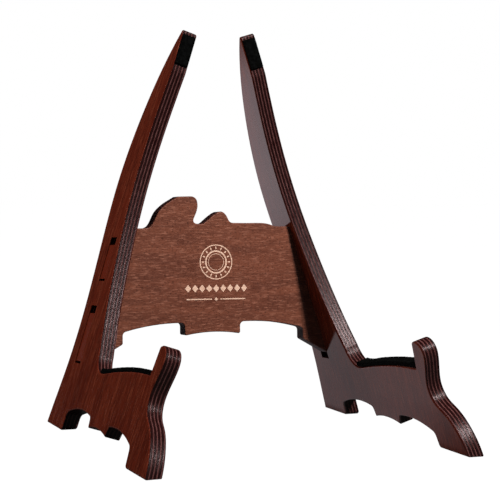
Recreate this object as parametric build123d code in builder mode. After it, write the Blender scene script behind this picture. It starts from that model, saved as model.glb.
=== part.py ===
"""Knock-down plywood stand for an acoustic or electric guitar.

Two identical leg plates lean in towards each other. A cross panel ends in tongues that
pass through slots in the legs, so the stand comes apart by pulling the legs off sideways.
Foam pads line the cradles that carry the guitar body and the tips it leans against.

Frame: +Z up, the guitar's player side is -Y, origin on the floor in the middle of the
stand's box. Millimetres.
"""

import os
from math import cos, radians, sin, tan

from build123d import *

os.makedirs("parts", exist_ok=True)

# Driving dimensions
ply = 12.7  # thickness of every wooden plate
floor_gap = 238.2  # between the legs' inner faces at the floor
leg_lean = 17.6  # degrees, each leg's top leans in
panel_lean = 3.6  # degrees, the panel's top leans back
toe_reach = 239.3  # heel to toe along a leg
rear_bulge = 12.6  # how far a leg's back curves out behind its heel
panel_setback = 38.6  # heel to the panel's front face, at the floor

edge_round = 1.3  # rounding along the legs' edges
foot_round = 3.0  # rounding where a foot's sole meets its arch
panel_round = 0.8  # rounding along the panel's edges

joint_gap = 0.15  # panel shoulders to the legs
slot_side_gap = 0.35  # tongue faces to the slot walls
slot_end_gap = 2.2  # tongue ends to the slot ends
tongue_recess = 0.2  # tongue ends sit this far inside the legs' outer faces
lower_tongue = (53.8, 91.5)  # heights up the panel
upper_tongue = (119.0, 146.0)

cradle_pad = 3.6  # foam thickness
tip_pad = 1.6
pad_inset = 0.8  # from each face of the leg to the foam's side
cradle_pad_span = (0.155, 0.997)  # fractions of the cradle curve that the foam covers
tip_pad_span = (0.03, 0.80)  # fractions of the tip's flat, from the nose down
foam_steps = 8  # points that shape the foam's outer face

# Derived sizes
lean_tan = tan(radians(leg_lean))
lean_cos = cos(radians(leg_lean))
panel_cos = cos(radians(panel_lean))
heel_y = (toe_reach - rear_bulge) / 2
below_floor = -3 * ply * lean_tan  # outlines run down to here and are cut at the floor


def leg_plane(outward=0.0):
    """Left leg's inner face, or a plane outside it: x runs forward from the heel, y up the plate."""
    lean = radians(leg_lean)
    inner_face = Plane(
        origin=(-floor_gap / 2, heel_y, 0), x_dir=(0, -1, 0), z_dir=(-cos(lean), 0, sin(lean))
    )
    return inner_face.offset(outward)


def panel_plane():
    """Cross panel's front face: x runs to the right, y up the panel."""
    lean = radians(panel_lean)
    return Plane(
        origin=(0, heel_y - panel_setback, 0), x_dir=(1, 0, 0), z_dir=(0, -cos(lean), sin(lean))
    )


def round_corner(corner, radius):
    """Round the outline's corner nearest to a point, in the sketch being drawn."""
    fillet(vertices().sort_by_distance((corner[0], corner[1], 0))[0], radius)


# ---------------------------------------------------------------------------
# Leg outline, (forward, up) on the plate
# ---------------------------------------------------------------------------
nose_back = (29.2, 331.2)
nose_front = (32.6, 329.2)
brow = (34.5, 297.0)  # top of the front curve, where the tip's flat begins
cradle_back = (73.2, 64.0)
cradle_front = (191.4, 62.8)
cradle_curve = (
    cradle_back, (79.0, 54.8), (84.6, 51.4), (91.0, 50.3), (101, 51.7), (125.5, 56.2), (155, 60.3),
    cradle_front,
)
lip_top_back = (194.3, 83.9)
lip_top_front = (209.9, 75.1)
toe = (toe_reach, below_floor)
arch_front_foot = (199.2, below_floor)
arch_front_top = (194.6, 11.0)
notch = (142.3, 16.2)
keel_front = (139.3, 8.6)
keel_back = (98.8, 8.6)
arch_rear_front = (96.6, 16.3)
arch_rear_back = (40.4, 11.0)
heel_front = (39.8, below_floor)
heel = (-2.0, below_floor)

with BuildSketch() as leg_outline:
    with BuildLine():
        Spline(
            heel, (1.8, 22), (4.7, 48), (4.6, 82), (-4.6, 143), (-12.6, 203), (-5.6, 257),
            (10.0, 300), nose_back,
        )
        ThreePointArc(nose_back, (31.6, 331.2), nose_front)
        Line(nose_front, brow)
        Spline(brow, (31.2, 273), (28.3, 232), (32.0, 184), (44.5, 133), (59.0, 93), cradle_back)
        Spline(cradle_curve)
        Line(cradle_front, lip_top_back)
        ThreePointArc(lip_top_back, (203.9, 84.6), lip_top_front)
        Spline(
            lip_top_front, (205.3, 59.3), (202.9, 48), (206.6, 38.6), (218.5, 30.7), (230.6, 18.6),
            (238.4, 2), toe,
        )
        Line(toe, arch_front_foot)
        Line(arch_front_foot, arch_front_top)
        ThreePointArc(arch_front_top, (168, 17.2), notch)
        Line(notch, keel_front)
        ThreePointArc(keel_front, (120, 11.0), keel_back)
        Line(keel_back, arch_rear_front)
        ThreePointArc(arch_rear_front, (70, 18.0), arch_rear_back)
        Line(arch_rear_back, heel_front)
        Line(heel_front, heel)
    make_face()
    round_corner(lip_top_back, 2.4)
    round_corner(arch_front_top, 5.0)
    round_corner(notch, 1.5)
    round_corner(arch_rear_front, 3.5)
    round_corner(arch_rear_back, 4.5)


def tongue_slot(tongue):
    """Slot centre, size and tilt on the leg plate, for a tongue's range up the panel.

    Tongues run level and the plate leans, so a slot is longer than its tongue by the drop
    across the plate.
    """
    low = tongue[0] * panel_cos / lean_cos - ply * lean_tan - slot_end_gap
    high = tongue[1] * panel_cos / lean_cos + slot_end_gap
    slope = tan(radians(panel_lean)) * lean_cos
    middle = (low + high) / 2
    forward = panel_setback - (middle + ply * lean_tan / 2) * slope - ply / panel_cos / 2
    tilt = Vector(0, 1).get_angle(Vector(slope, 1))
    return (forward, middle), (ply + 2 * slot_side_gap, high - low), tilt


with BuildPart() as left_leg_plate:
    with BuildSketch(leg_plane()):
        add(leg_outline.sketch)
    extrude(amount=ply)
    split(bisect_by=Plane.XY)
    sole_edges = edges().filter_by_position(Axis.Z, -0.01, 0.01)
    arch_corners = sole_edges.filter_by(Axis.X, tolerance=5)
    fillet(arch_corners, foot_round)
    face_edges = faces().filter_by(leg_plane()).edges()
    fillet(face_edges.filter_by_position(Axis.Z, 0.1, 400), edge_round)
    for tongue in (lower_tongue, upper_tongue):
        centre, size, tilt = tongue_slot(tongue)
        with BuildSketch(leg_plane()):
            with Locations(centre):
                Rectangle(*size, rotation=tilt)
        extrude(amount=ply, mode=Mode.SUBTRACT)


def foam_strip(points, start, end, thickness):
    """Sketch of a strip of even thickness, left of a curve and between two fractions of its length."""
    curve = Spline(points) if len(points) > 2 else Line(points)
    with BuildSketch() as strip:
        with BuildLine():
            wood_side = add(curve.trim(start, end)).edge()
            steps = [step / foam_steps for step in range(foam_steps + 1)]
            foam_side = Spline(
                [
                    wood_side @ step + (wood_side % step).rotate(Axis.Z, 90) * thickness
                    for step in steps
                ]
            )
            Line(wood_side @ 0, foam_side @ 0)
            Line(wood_side @ 1, foam_side @ 1)
        make_face()
    return strip.sketch


foam_width = ply - 2 * pad_inset
cradle_foam = foam_strip(cradle_curve, *cradle_pad_span, cradle_pad)
tip_foam = foam_strip((nose_front, brow), *tip_pad_span, tip_pad)

with BuildPart() as left_cradle_pad:
    with BuildSketch(leg_plane(pad_inset)):
        add(cradle_foam)
    extrude(amount=foam_width)

with BuildPart() as left_tip_pad:
    with BuildSketch(leg_plane(pad_inset)):
        add(tip_foam)
    extrude(amount=foam_width)

# The right leg is the left one's mirror image.
with BuildPart() as right_leg_plate:
    mirror(left_leg_plate.part, about=Plane.YZ)

with BuildPart() as right_cradle_pad:
    mirror(left_cradle_pad.part, about=Plane.YZ)

with BuildPart() as right_tip_pad:
    mirror(left_tip_pad.part, about=Plane.YZ)

# ---------------------------------------------------------------------------
# Cross panel, (right, up) on its front face
# ---------------------------------------------------------------------------
left_shoulder = 159.3
right_shoulder = 160.8
tab_inside = 79.8
tab_bottom = 66.0
arch_foot = 75.4
foot_left = -26.5
foot_right = 22.5
foot_bottom = 72.0
arch_crown = 81.9


def shoulder(height):
    """Half-width of the panel between the legs at a height up the panel."""
    return floor_gap / 2 - height * panel_cos * lean_tan - joint_gap


def tongue_tip(height):
    """Distance from the middle to a tongue's end at a height up the panel."""
    return floor_gap / 2 + ply / lean_cos - height * panel_cos * lean_tan - tongue_recess


panel_low = lower_tongue[0]
with BuildSketch() as panel_outline:
    with BuildLine():
        Line((-shoulder(left_shoulder), left_shoulder), (-60.5, left_shoulder))
        hump = Spline(
            (-60.5, left_shoulder), (-54.2, 162.4), (-48.6, 172.6), (-40.4, 180.0), (-31.6, 185.2),
            tangents=[(1, 0), (0.85, 0.5)],
        )
        Line((-31.6, 185.2), (-21.0, 185.5))
        Spline(
            (-21.0, 185.5), (-14.5, 179.6), (-16.9, 169.5), (-12.3, 162.8),
            tangents=[(1, 0), (1, 0)],
        )
        Spline(
            (-12.3, 162.8), (-6.2, 165.6), (0.9, 171.1), (6.3, 173.1), (11.6, 168.7), (17.5, 163.7),
            tangents=[(1, 0), (1, 0)],
        )
        Line((17.5, 163.7), (30, 163.6))
        Spline(
            (30, 163.6), (50, 162.5), (57.5, right_shoulder), tangents=[(1, 0), (1, 0)],
        )
        Line((57.5, right_shoulder), (shoulder(right_shoulder), right_shoulder))
        Line((shoulder(right_shoulder), right_shoulder), (shoulder(panel_low), panel_low))
        Line((shoulder(panel_low), panel_low), (tab_inside, tab_bottom))
        Line((tab_inside, tab_bottom), (tab_inside, arch_foot))
        ThreePointArc((tab_inside, arch_foot), (56, 80.3), (foot_right, arch_crown))
        Line((foot_right, arch_crown), (foot_right, foot_bottom))
        ThreePointArc((foot_right, foot_bottom), (-2, 74.0), (foot_left, foot_bottom - 0.6))
        Line((foot_left, foot_bottom - 0.6), (foot_left, arch_crown))
        ThreePointArc((foot_left, arch_crown), (-56, 80.3), (-tab_inside, arch_foot))
        Line((-tab_inside, arch_foot), (-tab_inside, tab_bottom))
        Line((-tab_inside, tab_bottom), (-shoulder(panel_low), panel_low))
        Line((-shoulder(panel_low), panel_low), (-shoulder(left_shoulder), left_shoulder))
    make_face()
    for side in (-1, 1):
        round_corner((side * tab_inside, tab_bottom), 2.0)
        round_corner((side * tab_inside, arch_foot), 3.5)
    for wall in (foot_left, foot_right):
        round_corner((wall, arch_crown), 3.5)
        round_corner((wall, foot_bottom), 1.5)

with BuildPart() as cross_panel:
    with BuildSketch(panel_plane()):
        add(panel_outline.sketch)
    extrude(amount=-ply)
    panel_faces = faces().filter_by(panel_plane())
    side_length = (left_shoulder - panel_low) * 0.9
    fillet(panel_faces.edges().filter_by(lambda edge: edge.length < side_length), panel_round)
    with BuildSketch(panel_plane()):
        for low, high in (lower_tongue, upper_tongue):
            for side in (-1, 1):
                with BuildLine():
                    Polyline(
                        (side * shoulder(low), low),
                        (side * tongue_tip(low), low),
                        (side * tongue_tip(high), high),
                        (side * (shoulder(high) - ply), high),
                        close=True,
                    )
                make_face()
    extrude(amount=-ply)

pieces = {
    "cross_panel": cross_panel,
    "left_leg_plate": left_leg_plate,
    "left_cradle_pad": left_cradle_pad,
    "left_tip_pad": left_tip_pad,
    "right_leg_plate": right_leg_plate,
    "right_cradle_pad": right_cradle_pad,
    "right_tip_pad": right_tip_pad,
}
for name, piece in pieces.items():
    piece.part.label = name
    export_step(piece.part, f"parts/{name}.step")
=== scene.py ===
"""Looks for the knock-down plywood guitar stand: stained plywood, foam pads, floor, light and camera."""

import math

import bpy
from mathutils import Matrix, Vector


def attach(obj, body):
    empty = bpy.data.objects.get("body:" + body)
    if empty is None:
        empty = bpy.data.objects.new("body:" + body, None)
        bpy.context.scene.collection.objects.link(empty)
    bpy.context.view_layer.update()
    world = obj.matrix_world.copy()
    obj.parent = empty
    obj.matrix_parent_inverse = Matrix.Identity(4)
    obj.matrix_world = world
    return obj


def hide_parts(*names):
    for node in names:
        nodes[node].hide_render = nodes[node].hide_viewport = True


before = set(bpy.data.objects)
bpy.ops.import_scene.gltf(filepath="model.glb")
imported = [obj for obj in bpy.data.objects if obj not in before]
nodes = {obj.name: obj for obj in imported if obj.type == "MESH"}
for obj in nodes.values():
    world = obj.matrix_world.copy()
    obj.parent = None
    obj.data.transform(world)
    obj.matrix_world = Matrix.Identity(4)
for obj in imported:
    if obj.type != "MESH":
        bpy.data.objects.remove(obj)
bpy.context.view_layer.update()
scene = bpy.context.scene

# ---------------------------------------------------------------------------
# The stand's own geometry, in millimetres, as the CAD part has it
# ---------------------------------------------------------------------------
PLY = 12.7
LEG_LEAN = math.radians(17.6)
INNER_FOOT = 119.1  # from the middle to a leg's inner face, at the floor
PANEL_FOOT = 74.75  # y of the panel's front face, at the floor
PANEL_LEAN = math.radians(3.6)
VENEER = PLY / 9  # nine plies
METRES_TO_MM = 1000
SLOT_MOUTH = (6, 9)  # past a leg's inner face, where the tongues' panel colour gives way to the legs'
ROUNDED = (0.75, 0.10)  # depths under a face, from all sawn edge to all face

# Stain, from the darkest to the lightest streaks of the face veneer
LEG_TONES = ((0.072, 0.008, 0.003), (0.112, 0.014, 0.005), (0.190, 0.040, 0.018))
PANEL_TONES = ((0.118, 0.036, 0.021), (0.180, 0.056, 0.031), (0.290, 0.110, 0.068))
# Sawn edge, each from its darkest to its lightest speckle
PALE_PLIES = ((0.055, 0.016, 0.015), (0.140, 0.058, 0.053))
DEEP_PLIES = ((0.007, 0.0012, 0.0012), (0.018, 0.004, 0.0036))


class Graph:
    """A material's nodes, with short calls that give back an output socket.

    A colour or value given as an input is either a plain value or another node's output.
    """

    def __init__(self, name, **shader_values):
        self.material = bpy.data.materials.new(name)
        self.material.use_nodes = True
        self.tree = self.material.node_tree
        self.shader = self.tree.nodes["Principled BSDF"]
        for socket, value in shader_values.items():
            self.shader.inputs[socket.replace("_", " ")].default_value = value

    def node(self, kind, inputs, output=0, **settings):
        made = self.tree.nodes.new(kind)
        for key, value in settings.items():
            setattr(made, key, value)
        for key, value in inputs.items():
            self.put(made.inputs[key], value)
        return made.outputs[output]

    def put(self, socket, value):
        if isinstance(value, bpy.types.NodeSocket):
            self.tree.links.new(value, socket)
        else:
            socket.default_value = value

    def coords(self):
        return self.node("ShaderNodeTexCoord", {}, "Object")

    def mapped(self, vector, location=(0, 0, 0), rotation=(0, 0, 0), scale=(1, 1, 1)):
        inputs = {"Vector": vector, "Location": location, "Rotation": rotation, "Scale": scale}
        return self.node("ShaderNodeMapping", inputs)

    def axes(self, vector):
        split = self.node("ShaderNodeSeparateXYZ", {0: vector}).node
        return split.outputs[0], split.outputs[1], split.outputs[2]

    def maths(self, operation, *values):
        return self.node("ShaderNodeMath", dict(enumerate(values)), operation=operation)

    def smooth(self, value, low, high, start=0.0, end=1.0):
        inputs = {0: value, 1: low, 2: high, 3: start, 4: end}
        return self.node("ShaderNodeMapRange", inputs, interpolation_type="SMOOTHSTEP")

    def noise(self, vector, scale=1.0, detail=2.0, roughness=0.5, distortion=0.0):
        inputs = {
            "Vector": vector, "Scale": scale, "Detail": detail, "Roughness": roughness,
            "Distortion": distortion,
        }
        return self.node("ShaderNodeTexNoise", inputs)

    def mix(self, factor, a, b):
        made = self.tree.nodes.new("ShaderNodeMix")
        made.data_type = "RGBA"
        for socket, value in ((made.inputs[0], factor), (made.inputs[6], a), (made.inputs[7], b)):
            if isinstance(value, tuple):
                value = (*value, 1.0)
            self.put(socket, value)
        return made.outputs[2]

    def bump(self, height, distance, strength):
        return self.node(
            "ShaderNodeBump", {"Height": height, "Distance": distance, "Strength": strength}
        )

    def finish(self, **links):
        for socket, value in links.items():
            self.put(self.shader.inputs[socket.replace("_", " ")], value)
        return self.material


def stained_ply(name, rotation, location, mirrored, tones, grain_axis, gloss, edge_gloss, fleck,
                tongues=False):
    """Stained and lacquered nine-ply birch.

    rotation and location bring the coordinates to millimetres, with the first axis running from
    the plate's inner or front face through its thickness.
    grain_axis is the axis that the face veneer's grain follows, gloss and edge_gloss the lowest
    and highest roughness of the lacquer on faces and sawn edges, and fleck the length of a
    streak in millimetres.
    """
    g = Graph(name, IOR=1.5)
    flip = -METRES_TO_MM if mirrored else METRES_TO_MM
    scale = (flip, METRES_TO_MM, METRES_TO_MM)
    place = g.mapped(g.coords(), location=location, rotation=rotation, scale=scale)
    depth = g.axes(place)[0]

    along = [1.0, 1.0, 1.0]
    along[grain_axis] = 1.1 / fleck
    fine = [1.7, 1.7, 1.7]
    fine[grain_axis] = 3.6 / fleck
    broad = g.noise(g.mapped(place, scale=tuple(0.12 * a for a in along)), 1.0, 3.0, 0.55, 0.6)
    streak = g.noise(g.mapped(place, scale=tuple(0.9 * a for a in along)), 1.0, 4.0, 0.6, 0.25)
    pores = g.noise(g.mapped(place, scale=tuple(fine)), 1.0, 2.0, 0.6)

    dark, middle, light = tones
    face = g.mix(g.smooth(broad, 0.32, 0.68), dark, middle)
    face = g.mix(g.smooth(streak, 0.48, 0.68, 0.0, 0.9), face, light)
    face = g.mix(g.smooth(pores, 0.52, 0.66, 0.0, 0.75), face, tuple(0.38 * c for c in dark))

    # The sawn edges: a pale line at every second glue line, on plies that have drunk the stain.
    wander = g.noise(g.mapped(place, scale=(0.02, 0.02, 0.02)), 1.0, 1.0)
    offset = g.maths("MULTIPLY_ADD", wander, 0.25, -0.125)
    phase = g.maths("ADD", depth, offset)
    turn = g.maths("MULTIPLY", phase, math.pi / VENEER)
    wave = g.maths("COSINE", turn)  # -1 at the first, third, fifth and seventh glue line
    stripe = g.smooth(g.maths("MULTIPLY", wave, -1.0), 0.30, 0.90)
    sawn = g.noise(g.mapped(place, scale=(3.2, 0.22, 0.22)), 1.0, 3.0, 0.65)
    speckle = g.smooth(sawn, 0.35, 0.70)
    pale = g.mix(speckle, *PALE_PLIES)
    deep = g.mix(speckle, *DEEP_PLIES)
    edge = g.mix(stripe, deep, pale)

    from_middle = g.maths("ABSOLUTE", g.maths("SUBTRACT", depth, PLY / 2))
    on_edge = g.smooth(from_middle, PLY / 2 - ROUNDED[0], PLY / 2 - ROUNDED[1], 1.0, 0.0)
    if tongues:
        across, _, height = g.axes(g.mapped(g.coords(), scale=(METRES_TO_MM,) * 3))
        out = g.maths("MULTIPLY_ADD", height, math.tan(LEG_LEAN), g.maths("ABSOLUTE", across))
        in_slot = g.smooth(out, INNER_FOOT + SLOT_MOUTH[0], INNER_FOOT + SLOT_MOUTH[1])
        face = g.mix(in_slot, face, LEG_TONES[1])
        on_edge = g.maths("MULTIPLY", on_edge, g.maths("SUBTRACT", 1.0, in_slot))
    colour = g.mix(on_edge, face, edge)

    face_rough = g.smooth(streak, 0.30, 0.75, *gloss)
    edge_rough = g.maths("MULTIPLY_ADD", stripe, -0.08, g.smooth(sawn, 0.3, 0.7, *edge_gloss))
    rough = g.node("ShaderNodeMix", {0: on_edge, 2: face_rough, 3: edge_rough}, data_type="FLOAT")

    # Bump heights: shallow grain and pores on the faces, saw marks and ply lines on the edges.
    relief = g.maths("MULTIPLY_ADD", streak, 0.12, g.maths("MULTIPLY", pores, -0.16))
    ridges = g.maths("MULTIPLY_ADD", stripe, 0.8, g.maths("MULTIPLY", sawn, 2.4))
    height = g.node("ShaderNodeMix", {0: on_edge, 2: relief, 3: ridges}, data_type="FLOAT")
    normal = g.bump(height, 0.00005, 0.6)
    return g.finish(Base_Color=colour, Roughness=rough, Normal=normal)


leg_shift = (-INNER_FOOT * math.cos(LEG_LEAN), 0, INNER_FOOT * math.sin(LEG_LEAN))
SIDES = ("left", "right")
for side in SIDES:
    wood = stained_ply(
        f"{side}_leg_ply", (0, LEG_LEAN, 0), leg_shift, side == "left", LEG_TONES, 2,
        gloss=(0.09, 0.15), edge_gloss=(0.22, 0.44), fleck=22,
    )
    nodes[f"{side}_leg_plate"].data.materials.clear()
    nodes[f"{side}_leg_plate"].data.materials.append(wood)

# On the panel the thickness runs along +Y, so a quarter turn brings it to the first axis.
panel_turn = Matrix.Rotation(-math.pi / 2, 3, "Z") @ Matrix.Rotation(PANEL_LEAN, 3, "X")
panel_rotation = panel_turn.to_euler("XYZ")
panel_shift = -(panel_turn @ Vector((0, PANEL_FOOT, 0)))
wood = stained_ply(
    "panel_ply", tuple(panel_rotation), tuple(panel_shift), False, PANEL_TONES, 1,
    gloss=(0.34, 0.50), edge_gloss=(0.60, 0.80), fleck=8, tongues=True,
)
nodes["cross_panel"].data.materials.clear()
nodes["cross_panel"].data.materials.append(wood)


# ---------------------------------------------------------------------------
# Foam pads
# ---------------------------------------------------------------------------
def foam_material():
    g = Graph("black_foam", IOR=1.45, Specular_IOR_Level=0.03)
    place = g.mapped(g.coords(), scale=(METRES_TO_MM,) * 3)
    cells = g.node("ShaderNodeTexVoronoi", {"Vector": place, "Scale": 2.2})
    cloud = g.noise(place, 0.35, 3.0, 0.6)
    colour = g.mix(g.smooth(cloud, 0.35, 0.7), (0.0014, 0.0014, 0.0013), (0.0036, 0.0037, 0.0036))
    colour = g.mix(g.smooth(cells, 0.0, 0.35, 0.5, 0.0), colour, (0.0008, 0.0008, 0.0008))
    rough = g.smooth(cloud, 0.3, 0.7, 0.75, 0.92)
    height = g.maths("ADD", cells, g.maths("MULTIPLY", cloud, 0.8))
    return g.finish(Base_Color=colour, Roughness=rough, Normal=g.bump(height, 0.00025, 0.7))


foam = foam_material()
grain_texture = bpy.data.textures.new("foam_skin", "CLOUDS")
grain_texture.noise_scale = 0.004
grain_texture.noise_depth = 2


def foam_pad(node, voxel, rounding):
    """A soft pad in a CAD pad's place: its sharp corners rounded and its skin a little uneven.

    voxel is the remesh's cell in metres, and rounding how many times its corners are smoothed.
    """
    pad = bpy.data.objects.new(node + "_foam", nodes[node].data.copy())
    scene.collection.objects.link(pad)
    pad.data.materials.clear()
    pad.data.materials.append(foam)
    remesh = pad.modifiers.new("remesh", "REMESH")
    remesh.mode = "VOXEL"
    remesh.voxel_size = voxel
    soften = pad.modifiers.new("soften", "SMOOTH")
    soften.factor = 0.5
    soften.iterations = rounding
    skin = pad.modifiers.new("skin", "DISPLACE")
    skin.texture = grain_texture
    skin.texture_coords = "LOCAL"
    skin.strength = 0.00012
    skin.mid_level = 0.5
    graph = bpy.context.evaluated_depsgraph_get()
    made = bpy.data.meshes.new_from_object(pad.evaluated_get(graph))
    pad.modifiers.clear()
    pad.data = made
    for polygon in made.polygons:
        polygon.use_smooth = True
    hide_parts(node)
    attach(pad, node.split("_")[0] + "_leg")


for side in SIDES:
    foam_pad(f"{side}_cradle_pad", voxel=0.00045, rounding=4)
    foam_pad(f"{side}_tip_pad", voxel=0.00030, rounding=3)


# ---------------------------------------------------------------------------
# Generic ornament printed on the panel: a rosette over a band of lozenges and a rule
# ---------------------------------------------------------------------------
PRINT_RISE = 0.04  # millimetres that the print stands off the panel


def panel_point(across, up):
    """Where a point of the print lies, in metres, for millimetres across and up the panel's face."""
    y = PANEL_FOOT + up * math.sin(PANEL_LEAN) - PRINT_RISE * math.cos(PANEL_LEAN)
    z = up * math.cos(PANEL_LEAN) + PRINT_RISE * math.sin(PANEL_LEAN)
    return (across / 1000, y / 1000, z / 1000)


print_vertices, print_faces = [], []


def printed(points):
    start = len(print_vertices)
    print_vertices.extend(panel_point(*p) for p in points)
    print_faces.append(tuple(range(start, start + len(points))))


def ring(centre, inner, outer, steps=72):
    for step in range(steps):
        a, b = (2 * math.pi * (step + k) / steps for k in (0, 1))
        printed([
            (centre[0] + r * math.cos(t), centre[1] + r * math.sin(t))
            for r, t in ((inner, a), (outer, a), (outer, b), (inner, b))
        ])


def lozenge(centre, half_width, half_height, turn=0.0):
    corners = ((half_width, 0), (0, half_height), (-half_width, 0), (0, -half_height))
    printed([
        (
            centre[0] + x * math.cos(turn) - y * math.sin(turn),
            centre[1] + x * math.sin(turn) + y * math.cos(turn),
        )
        for x, y in corners
    ])


ROSETTE = (1.2, 131.5)  # its middle, across and up the panel
RINGS = ((13.6, 14.4), (8.4, 9.6), (6.6, 6.95))  # inner and outer radii
PETALS = 16
PETAL_RADIUS = 11.6
BAND_COUNT, BAND_PITCH, BAND_HEIGHT = 9, 6.2, 109.8  # the row of lozenges under the rosette
RULE = (100.5, 101.4)  # the rule's lower and upper edge
RULE_SPANS = ((-25.0, -2.6), (4.8, 27.2))
RULE_MIDDLE = (1.1, 100.95)

for inner, outer in RINGS:
    ring(ROSETTE, inner, outer)
for petal in range(PETALS):
    angle = 2 * math.pi * petal / PETALS
    middle = (
        ROSETTE[0] + PETAL_RADIUS * math.cos(angle),
        ROSETTE[1] + PETAL_RADIUS * math.sin(angle),
    )
    lozenge(middle, 1.5, 0.7, angle)
for place in range(BAND_COUNT):
    across = ROSETTE[0] + BAND_PITCH * (place - BAND_COUNT // 2)
    lozenge((across, BAND_HEIGHT), 2.7, 3.1)
for start, end in RULE_SPANS:
    printed([(start, RULE[0]), (end, RULE[0]), (end, RULE[1]), (start, RULE[1])])
lozenge(RULE_MIDDLE, 1.5, 1.5)

print_mesh = bpy.data.meshes.new("panel_ornament")
print_mesh.from_pydata(print_vertices, [], print_faces)
ornament = bpy.data.objects.new("panel_ornament", print_mesh)
scene.collection.objects.link(ornament)
g = Graph("cream_print", IOR=1.45, Coat_Weight=0.2, Coat_Roughness=0.15)
spots = g.noise(g.mapped(g.coords(), scale=(300, 1000, 2600)), 1.0, 3.0, 0.6)
ink = g.mix(g.smooth(spots, 0.30, 0.62), (0.60, 0.34, 0.23), (0.83, 0.56, 0.42))
ornament.data.materials.append(
    g.finish(Base_Color=ink, Roughness=g.smooth(spots, 0.3, 0.7, 0.45, 0.60),
             Normal=g.bump(spots, 0.00003, 0.5))
)
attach(ornament, "panel")


# ---------------------------------------------------------------------------
# Floor, backdrop and light
# ---------------------------------------------------------------------------
FLOOR_DROP = 0.0002  # metres that the floor lies under the feet, so that they don't share a plane

floor_mesh = bpy.data.meshes.new("floor")
reach = 6.0
floor_mesh.from_pydata(
    [(-reach, -reach, 0), (reach, -reach, 0), (reach, reach, 0), (-reach, reach, 0)],
    [], [(0, 1, 2, 3)],
)
floor = bpy.data.objects.new("floor", floor_mesh)
scene.collection.objects.link(floor)
g = Graph("pale_floor", Roughness=0.9, Specular_IOR_Level=0.0, Base_Color=(0.03, 0.03, 0.03, 1))
camera_ray = g.node("ShaderNodeLightPath", {}, "Is Camera Ray")
across, behind, _ = g.axes(g.coords())
# The floor's glow is painted light that the lacquer mirrors: a painted bright patch between the legs and
# behind them, painted dark beside and in front.
between = g.maths("MULTIPLY", g.smooth(across, -0.09, -0.05), g.smooth(across, 0.112, 0.122, 1, 0))
painted_glow_mask = g.maths("MAXIMUM", g.smooth(behind, 0.14, 0.22), between)
aside = g.maths("MULTIPLY_ADD", behind, 0.42, across)
painted_glow_mask = g.maths("MULTIPLY", painted_glow_mask, g.smooth(aside, 0.01, 0.06))
painted_glow_mask = g.maths("MULTIPLY", painted_glow_mask, g.smooth(behind, 1.5, 2.2, 1.0, 0.05))
# The painted glow's strength: faint in front, rising through the stand and further behind it.
close = g.smooth(behind, -0.16, 0.02, 0.02, 0.36)
glow = g.maths("MULTIPLY", painted_glow_mask, g.maths("ADD", close, g.smooth(behind, 0.10, 0.90, 0.0, 0.56)))
# For every ray but the camera's, the floor gives off this painted glow, tinted pink; the camera sees the
# floor plain white.
g.finish(Emission_Color=g.mix(camera_ray, (1.0, 0.88, 0.95), (1.0, 1.0, 1.0)),
         Emission_Strength=g.maths("MAXIMUM", camera_ray, glow))
floor.data.materials.append(g.material)
floor.location.z = -FLOOR_DROP
floor.visible_diffuse = False  # soft fill comes from the world instead


LIT_POINT = Vector((0, 0, 0.14))  # what the softboxes are turned to, in the middle of the stand


def softbox(name, direction, distance, size, power, colour=(1, 1, 1), mirrored=False):
    """A softbox that lights the stain or, when mirrored, one that shows only in the lacquer."""
    light = bpy.data.lights.new(name, "AREA")
    light.shape = "RECTANGLE"
    light.size, light.size_y = size
    light.energy = power
    light.color = colour
    lamp = bpy.data.objects.new(name, light)
    scene.collection.objects.link(lamp)
    away = Vector(direction).normalized()
    lamp.location = LIT_POINT + away * distance
    lamp.rotation_euler = (-away).to_track_quat("-Z", "Y").to_euler()
    lamp.visible_glossy = mirrored
    lamp.visible_diffuse = not mirrored


softbox("key", (0.293, -0.601, 0.743), 1.4, (0.26, 0.26), 33)
softbox("left_fill", (-0.85, 0.25, 0.60), 1.3, (0.8, 0.5), 15)
softbox("glint", (0.22, -0.72, 0.66), 2.2, (0.45, 0.45), 15, (1.0, 0.84, 0.84), mirrored=True)

# The backdrop is white for the camera and nearly dark for everything else.
AMBIENT = 0.03  # for diffuse rays, on top of the glow
GLOW = 0.01  # for every ray

world = bpy.data.worlds.new("studio")
scene.world = world
world.use_nodes = True
tree = world.node_tree
background = tree.nodes["Background"]
path = tree.nodes.new("ShaderNodeLightPath")
ambient = tree.nodes.new("ShaderNodeMath")
ambient.operation = "MULTIPLY_ADD"
ambient.inputs[1].default_value = AMBIENT
ambient.inputs[2].default_value = GLOW
strength = tree.nodes.new("ShaderNodeMath")
strength.operation = "MAXIMUM"
tree.links.new(path.outputs["Is Diffuse Ray"], ambient.inputs[0])
tree.links.new(ambient.outputs[0], strength.inputs[0])
tree.links.new(path.outputs["Is Camera Ray"], strength.inputs[1])
tree.links.new(strength.outputs[0], background.inputs["Strength"])
background.inputs["Color"].default_value = (1, 1, 1, 1)
scene.view_settings.view_transform = "Standard"

# ---------------------------------------------------------------------------
# Camera
# ---------------------------------------------------------------------------
CAMERA_PLACE = (-0.464171, -1.073441, 0.211600)
FOCAL_LENGTH = 109.126
SENSOR_WIDTH = 36.0
YAW, PITCH, ROLL = 0.404919, -0.056146, 0.016102  # radians
ahead = Vector((
    math.sin(YAW) * math.cos(PITCH), math.cos(YAW) * math.cos(PITCH), math.sin(PITCH)
))
level_right = ahead.cross(Vector((0, 0, 1))).normalized()
level_up = level_right.cross(ahead)
right = math.cos(ROLL) * level_right + math.sin(ROLL) * level_up
up = math.cos(ROLL) * level_up - math.sin(ROLL) * level_right
camera_data = bpy.data.cameras.new("camera")
camera_data.lens = FOCAL_LENGTH
camera_data.sensor_width = SENSOR_WIDTH
camera = bpy.data.objects.new("camera", camera_data)
turn = Matrix((right, up, -ahead)).transposed().to_4x4()
camera.matrix_world = Matrix.Translation(CAMERA_PLACE) @ turn
scene.collection.objects.link(camera)
scene.camera = camera
